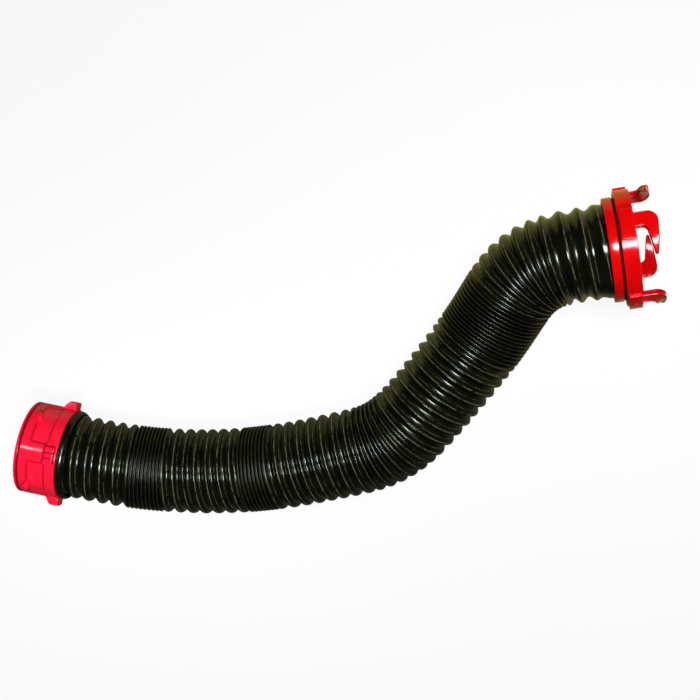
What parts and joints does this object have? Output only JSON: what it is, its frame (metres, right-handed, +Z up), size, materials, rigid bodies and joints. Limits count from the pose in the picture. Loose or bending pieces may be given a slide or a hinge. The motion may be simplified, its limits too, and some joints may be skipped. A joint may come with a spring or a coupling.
{
  "type": "sewer hose extension",
  "caption": "Black corrugated hose lying in a gentle S bend, with a red swivelling lug fitting on one end and a red swivelling bayonet fitting with hooks on the other.",
  "frame": {"origin": "on the surface that the hose lies on, under the middle of its bounding box", "axes": "+Z up, +X from the lug end towards the bayonet end, +Y to the left of that"},
  "size_m": [0.627, 0.3174, 0.1082],
  "materials": {
    "vinyl": "gloss",
    "lug_plastic": "gloss",
    "bayonet_plastic": "gloss",
    "steel": "brushed",
    "seal": "matte"
  },
  "bodies": {
    "hose": {"hose_wall": "vinyl", "wire_helix": "steel", "lug_hose_cuff": "vinyl", "lug_end_adapter": "lug_plastic", "lug_o_ring": "seal", "lug_retaining_ring": "steel", "bayonet_end_adapter": "bayonet_plastic", "bayonet_o_ring": "seal", "bayonet_retaining_ring": "steel", "bayonet_gasket": "seal"},
    "lug_swivel": {"lug_barrel": "lug_plastic"},
    "bayonet_swivel": {"bayonet_ring": "bayonet_plastic"}
  },
  "joints": [
    {"name": "lug_swivel", "type": "hinge", "parent": "hose", "child": "lug_swivel", "pos_m": [-0.29816, -0.09217, 0.05243], "axis": [-0.9806, 0.1961, 0], "continuous": true},
    {"name": "bayonet_swivel", "type": "hinge", "parent": "hose", "child": "bayonet_swivel", "pos_m": [0.27312, 0.10202, 0.05511], "axis": [0.9899, 0.132, -0.0523], "continuous": true}
  ]
}
